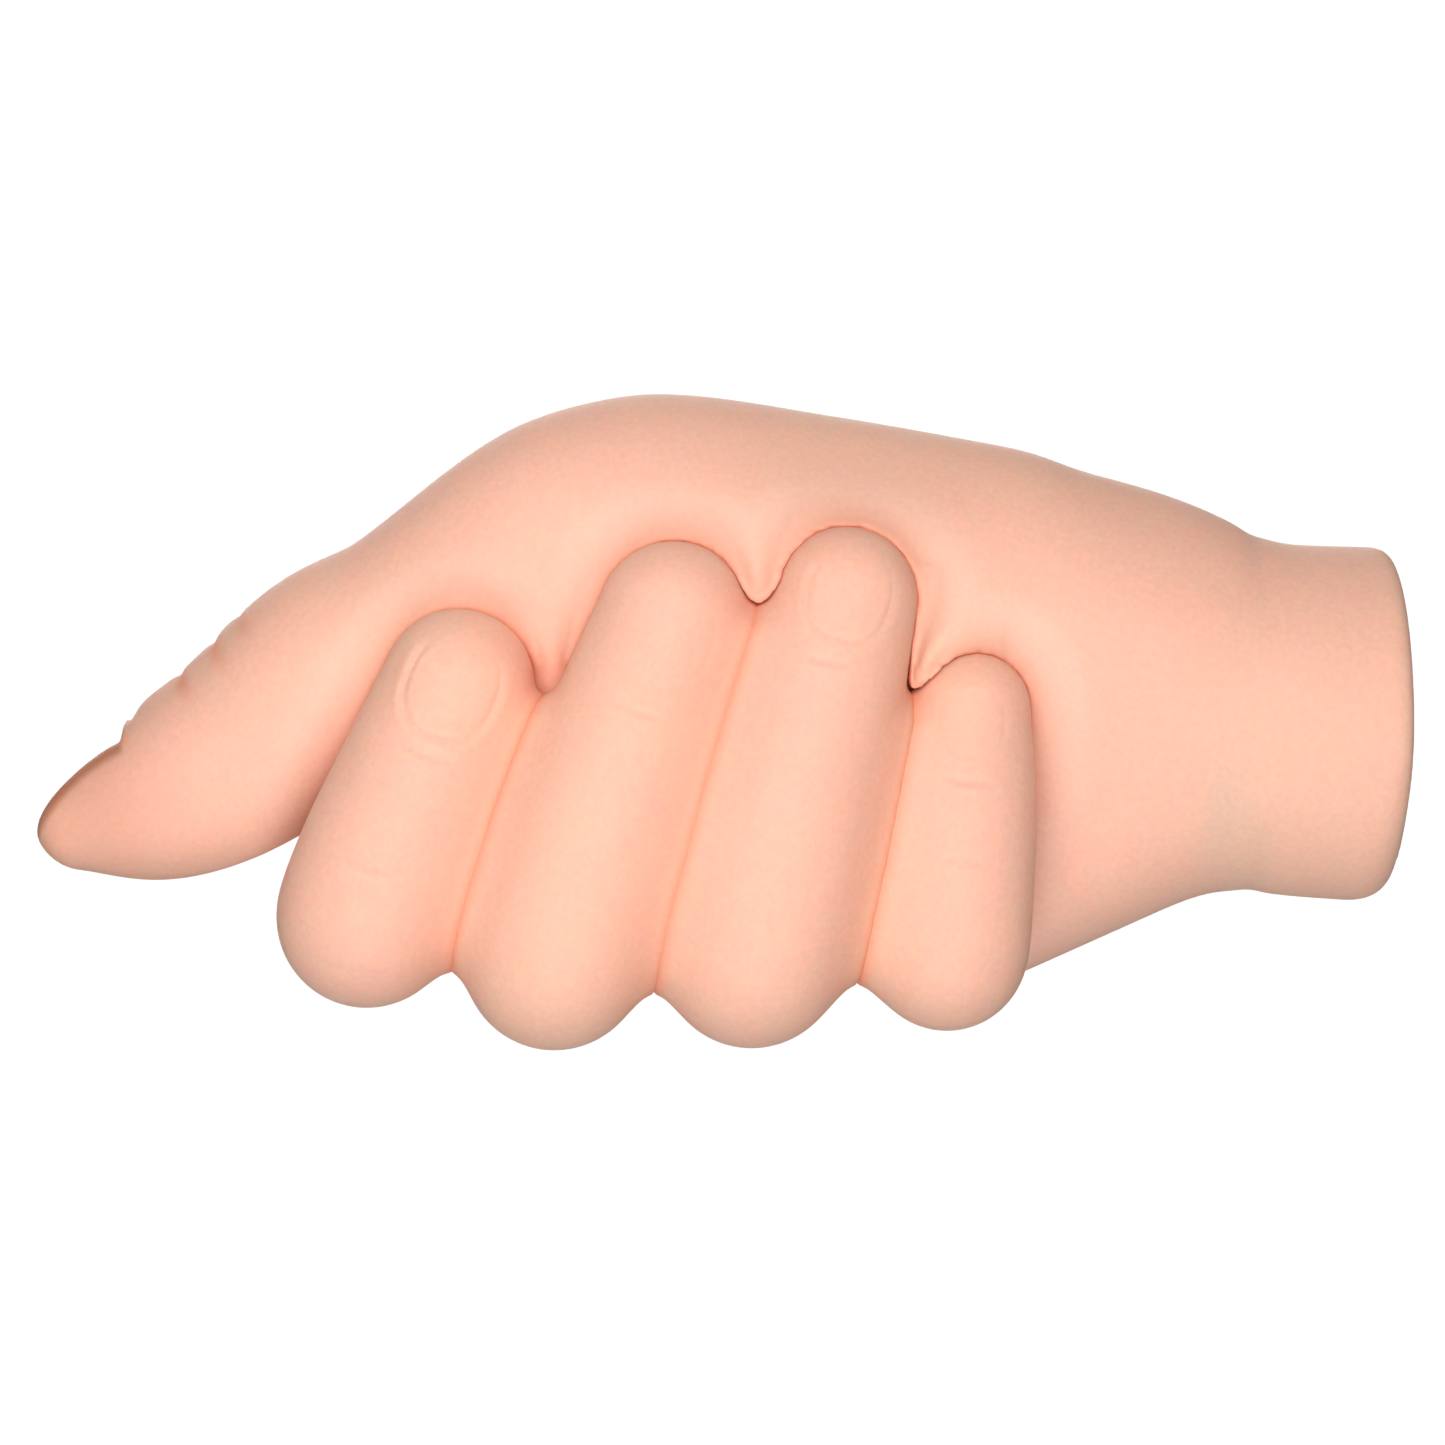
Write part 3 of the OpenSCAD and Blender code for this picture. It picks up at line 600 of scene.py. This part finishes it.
def sample(field, axes, points):
    """A field's values at points, linear between voxels."""
    at = (points - [axis[0] for axis in axes]) / VOXEL
    base = np.clip(at.astype(int), 0, np.array(field.shape) - 2)
    t = np.clip(at - base, 0, 1)
    value = np.zeros(len(points))
    for corner in np.ndindex(2, 2, 2):
        share = np.prod(np.where(corner, t, 1 - t), axis=1)
        value += share * field[tuple((base + corner).T)]
    return value


def tint(piece, name, values):
    """Stores a tint, from 0 to 1, on each point of a piece."""
    layer = piece.data.attributes.new(name, "FLOAT", "POINT")
    layer.data.foreach_set("value", np.clip(values, 0, 1).astype(np.float32))


def tint_skin(piece, contact_shade, firm, axes, thumb=None):
    """Painted shade where soft faces touch and in the thumb's skin folds, where light scatters least, and
    the thumbnail's own colour, deepened with painted shade.
    """
    points = points_of(piece.data) / MM
    painted_shade = sample(contact_shade, axes, points)
    nail_and_shade = np.zeros(len(points))
    if thumb:
        normals = points_of(piece.data, "vertex_normals", "vector")
        run = (points - thumb.hinge) @ thumb.along
        facing = ease((normals @ np.array(NAIL_OUT) - 0.4) / 0.5)
        under = Hand.thumb_nail(*points.T)
        # the nail plate's own colour, deepened with painted shade where it turns up and away from the
        # light; also a little darker all over the thumb's end
        nail_and_shade = 0.9 * ease((under + 2.2) / 1.6) * ease((run - NAIL_FOLD + 0.3) / 1.2)
        nail_and_shade = np.maximum(nail_and_shade, 0.22 * ease((run - 44) / 16))
        # painted shade in the thumb's skin folds that face up
        for place, depth in THUMB_FOLDS:
            painted_shade = np.maximum(painted_shade, 1.1 * depth * facing * np.exp(-((run - place) / 0.9) ** 2))
    tint(piece, "painted_shade", painted_shade)
    tint(piece, "nail_and_shade", nail_and_shade)
    tint(piece, "firm", sample(firm, axes, points))


def shape_skin(piece, height_of):
    """Moves each point of a skin out along its normal."""
    points = points_of(piece.data)
    normals = points_of(piece.data, "vertex_normals", "vector")
    points += normals * height_of(points / MM, normals)[:, None] * MM
    piece.data.vertices.foreach_set("co", points.ravel())
    piece.data.update()


# ---------- materials ----------

def new_material(name):
    material = bpy.data.materials.new(name)
    material.use_nodes = True
    tree = material.node_tree
    return material, tree, tree.nodes["Principled BSDF"]


def noise(tree, scale, detail=2.0, stretch=(1, 1, 1)):
    """Noise in the object's own metres."""
    place = tree.nodes.new("ShaderNodeTexCoord")
    mapping = tree.nodes.new("ShaderNodeMapping")
    mapping.inputs["Scale"].default_value = stretch
    texture = tree.nodes.new("ShaderNodeTexNoise")
    texture.inputs["Scale"].default_value = scale
    texture.inputs["Detail"].default_value = detail
    tree.links.new(place.outputs["Object"], mapping.inputs["Vector"])
    tree.links.new(mapping.outputs["Vector"], texture.inputs["Vector"])
    return texture.outputs["Fac"]


def ramp(tree, source, stops):
    """A colour ramp over (position, colour) stops."""
    node = tree.nodes.new("ShaderNodeValToRGB")
    elements = node.color_ramp.elements
    for element, (position, colour) in zip(elements, (stops[0], stops[-1])):
        element.position = position
        element.color = (*colour, 1)
    for position, colour in stops[1:-1]:
        elements.new(position).color = (*colour, 1)
    tree.links.new(source, node.inputs["Fac"])
    return node.outputs["Color"]


def spread_values(tree, source, low, high):
    """Maps 0..1 on to low..high."""
    node = tree.nodes.new("ShaderNodeMapRange")
    node.inputs["To Min"].default_value = low
    node.inputs["To Max"].default_value = high
    tree.links.new(source, node.inputs["Value"])
    return node.outputs["Result"]


def mix(tree, factor, first, second, mode="MIX"):
    """Mixes two colours, each a socket or a constant."""
    node = tree.nodes.new("ShaderNodeMix")
    node.data_type = "RGBA"
    node.blend_type = mode
    if isinstance(factor, float):
        node.inputs["Factor"].default_value = factor
    else:
        tree.links.new(factor, node.inputs["Factor"])
    for socket, value in (("A", first), ("B", second)):
        socket = [i for i in node.inputs if i.name == socket and i.type == "RGBA"][0]
        if isinstance(value, tuple):
            socket.default_value = (*value, 1)
        else:
            tree.links.new(value, socket)
    return [o for o in node.outputs if o.type == "RGBA"][0]


def bump(tree, shader, height, strength, distance):
    node = tree.nodes.new("ShaderNodeBump")
    node.inputs["Strength"].default_value = strength
    node.inputs["Distance"].default_value = distance
    tree.links.new(height, node.inputs["Height"])
    tree.links.new(node.outputs["Normal"], shader.inputs["Normal"])


def attribute(tree, name):
    node = tree.nodes.new("ShaderNodeAttribute")
    node.attribute_name = name
    return node.outputs["Fac"]


SKIN_PINK = (0.915, 0.54, 0.42)
SKIN_SAND = (0.92, 0.56, 0.42)
# Painted shade for creases and where soft faces touch
SKIN_SHADE = (0.84, 0.25, 0.12)
# The thumbnail's colour, deepened with painted shade
SKIN_NAIL_AND_SHADE = (0.50, 0.19, 0.10)


def silicone():
    """Soft pigmented silicone: light scatters in it, with slow mottling, a fine grain, painted shade in its
    creases, and a thumbnail partly darkened with painted shade.
    """
    material, tree, shader = new_material("silicone")
    mottle = ramp(tree, noise(tree, 38, 3), [(0.3, SKIN_PINK), (0.7, SKIN_SAND)])
    flecks = ramp(tree, noise(tree, 1500, 1), [(0.3, (0.94, 0.94, 0.94)), (0.7, (1, 1, 1))])
    base = mix(tree, 1.0, mottle, flecks, "MULTIPLY")
    # painted shade where soft faces touch and in creases
    base = mix(tree, attribute(tree, "painted_shade"), base, SKIN_SHADE)
    # the thumbnail's colour, deepened with painted shade
    base = mix(tree, attribute(tree, "nail_and_shade"), base, SKIN_NAIL_AND_SHADE)
    tree.links.new(base, shader.inputs["Base Color"])
    tree.links.new(spread_values(tree, attribute(tree, "firm"), 1, 0), shader.inputs["Subsurface Weight"])
    shader.inputs["Subsurface Radius"].default_value = (1.0, 0.38, 0.22)
    shader.inputs["Subsurface Scale"].default_value = 0.0025
    shader.inputs["Specular IOR Level"].default_value = 0.35
    tree.links.new(spread_values(tree, noise(tree, 400, 2), 0.5, 0.64), shader.inputs["Roughness"])
    bump(tree, shader, noise(tree, 2200, 2), 0.25, 0.00006)
    return material


def metal(name, dark, light, roughness, stretch=(1, 1, 1), scale=900):
    """Turned or milled metal with fine tool marks."""
    material, tree, shader = new_material(name)
    marks = noise(tree, scale, 3, stretch)
    tree.links.new(ramp(tree, marks, [(0.3, dark), (0.7, light)]), shader.inputs["Base Color"])
    shader.inputs["Metallic"].default_value = 1.0
    rough = spread_values(tree, marks, roughness - 0.07, roughness + 0.09)
    tree.links.new(rough, shader.inputs["Roughness"])
    bump(tree, shader, marks, 0.2, 0.00004)
    return material


def moulded(name, dark, light, roughness):
    """A moulded plastic with a faint grain."""
    material, tree, shader = new_material(name)
    grain = noise(tree, 1400, 3)
    cloud = noise(tree, 60, 2)
    tree.links.new(ramp(tree, cloud, [(0.3, dark), (0.7, light)]), shader.inputs["Base Color"])
    rough = spread_values(tree, grain, roughness - 0.06, roughness + 0.08)
    tree.links.new(rough, shader.inputs["Roughness"])
    bump(tree, shader, grain, 0.25, 0.00005)
    return material


def foam():
    """Open-celled filling foam."""
    material, tree, shader = new_material("filling_foam")
    cells = tree.nodes.new("ShaderNodeTexVoronoi")
    cells.inputs["Scale"].default_value = 1100
    place = tree.nodes.new("ShaderNodeTexCoord")
    tree.links.new(place.outputs["Object"], cells.inputs["Vector"])
    stops = [(0.1, (0.45, 0.36, 0.22)), (0.6, (0.82, 0.74, 0.55))]
    tree.links.new(ramp(tree, cells.outputs["Distance"], stops), shader.inputs["Base Color"])
    shader.inputs["Roughness"].default_value = 0.92
    bump(tree, shader, cells.outputs["Distance"], 0.6, 0.0003)
    return material


def dress_frame():
    """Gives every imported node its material: turned steel, milled alloy, nylon or foam."""
    steel = metal("turned_steel", (0.52, 0.52, 0.53), (0.68, 0.68, 0.69), 0.27, (1, 6, 6))
    bolts = metal("bolt_steel", (0.30, 0.30, 0.31), (0.46, 0.46, 0.47), 0.33)
    alloy = metal("milled_alloy", (0.70, 0.71, 0.72), (0.82, 0.83, 0.84), 0.36, (8, 8, 1), 500)
    nylon = moulded("natural_nylon", (0.76, 0.73, 0.64), (0.84, 0.81, 0.73), 0.45)
    black = moulded("black_nylon", (0.020, 0.020, 0.022), (0.035, 0.035, 0.038), 0.42)
    filling = foam()
    rules = [
        ("foam", filling), ("core", nylon), ("bush", nylon), ("brake_washer", black),
        ("cuff_ring", nylon), ("screw", bolts), ("pin", steel), ("washers", steel),
        ("spring", steel), ("nut", bolts), ("spindle", steel), ("", alloy),
    ]
    for name in frame["nodes"]:
        material = next(m for word, m in rules if word in name)
        node = bpy.data.objects[name]
        node.data.materials.clear()
        node.data.materials.append(material)


# ---------- light ----------

def add_area(name, place, target, size, power):
    data = bpy.data.lights.new(name, "AREA")
    data.shape = "DISK"
    data.size = size
    data.energy = power
    light = bpy.data.objects.new(name, data)
    light.location = place
    light.rotation_euler = (Vector(target) - Vector(place)).to_track_quat("-Z", "Y").to_euler()
    bpy.context.scene.collection.objects.link(light)


def add_world():
    """A white backdrop, whose light on the part is dimmer than it looks, so that edges keep shape."""
    world = bpy.data.worlds.new("studio")
    world.use_nodes = True
    tree = world.node_tree
    lit = tree.nodes["Background"]
    lit.inputs["Color"].default_value = (1, 0.87, 0.80, 1)
    lit.inputs["Strength"].default_value = 0.34
    seen = tree.nodes.new("ShaderNodeBackground")
    seen.inputs["Color"].default_value = (1, 1, 1, 1)
    seen.inputs["Strength"].default_value = 1.05
    choice = tree.nodes.new("ShaderNodeMixShader")
    path = tree.nodes.new("ShaderNodeLightPath")
    tree.links.new(path.outputs["Is Camera Ray"], choice.inputs["Fac"])
    tree.links.new(lit.outputs["Background"], choice.inputs[1])
    tree.links.new(seen.outputs["Background"], choice.inputs[2])
    tree.links.new(choice.outputs["Shader"], tree.nodes["World Output"].inputs["Surface"])
    bpy.context.scene.world = world


def add_floor():
    """A plain white floor well below the part, evenly lit."""
    bpy.ops.mesh.primitive_plane_add(size=9, location=(0, 0, -0.8))
    floor = bpy.context.object
    floor.name = "floor"
    material, tree, shader = new_material("floor_paint")
    shader.inputs["Base Color"].default_value = (0.4, 0.4, 0.4, 1)
    shader.inputs["Roughness"].default_value = 0.9
    glow = tree.nodes.new("ShaderNodeEmission")
    glow.inputs["Strength"].default_value = 1.02
    path = tree.nodes.new("ShaderNodeLightPath")
    choice = tree.nodes.new("ShaderNodeMixShader")
    tree.links.new(path.outputs["Is Camera Ray"], choice.inputs["Fac"])
    tree.links.new(shader.outputs["BSDF"], choice.inputs[1])
    tree.links.new(glow.outputs["Emission"], choice.inputs[2])
    tree.links.new(choice.outputs["Shader"], tree.nodes["Material Output"].inputs["Surface"])
    floor.data.materials.append(material)


def add_studio():
    bpy.context.scene.view_settings.view_transform = "Standard"
    middle = (-0.075, 0, 0)
    add_world()
    add_area("key", (-0.095, -0.34, 0.085), middle, 0.34, 1.03)
    add_area("low_fill", (-0.12, -0.42, -0.5), middle, 0.5, 2.05)
    add_area("back", (-0.2, 0.95, 0.35), middle, 0.9, 5)
    add_floor()


# ---------- build ----------

add_camera()
hand = Hand()
skin = silicone()
dress_frame()

fingers, thumb = hand.digits[:-1], hand.digits[-1]


def relief(digit):
    """The relief of a piece: its digit's own and that of the back of the hand."""
    front = thumb_relief if digit.name == "thumb" else finger_relief
    return lambda points, normals: front(digit, points, normals) + back_relief(fingers, points, normals)


palm = mesh_piece("hand_skin", hand.palm(), hand.axes)
shape_skin(palm, relief(thumb))
tint_skin(palm, hand.contact_shade, hand.firm, hand.axes, thumb)
palm.data.materials.append(skin)
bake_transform(palm)
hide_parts("palm_skin", "thumb_skin")

for digit in fingers:
    piece = mesh_piece(digit.name + "_glove", digit.field, digit.axes)
    subdivide(piece)
    shape_skin(piece, relief(digit))
    tint_skin(piece, digit.contact_shade, digit.firm, digit.axes)
    piece.data.materials.append(skin)
    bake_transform(piece)
    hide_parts(digit.name + "_skin")

add_studio()
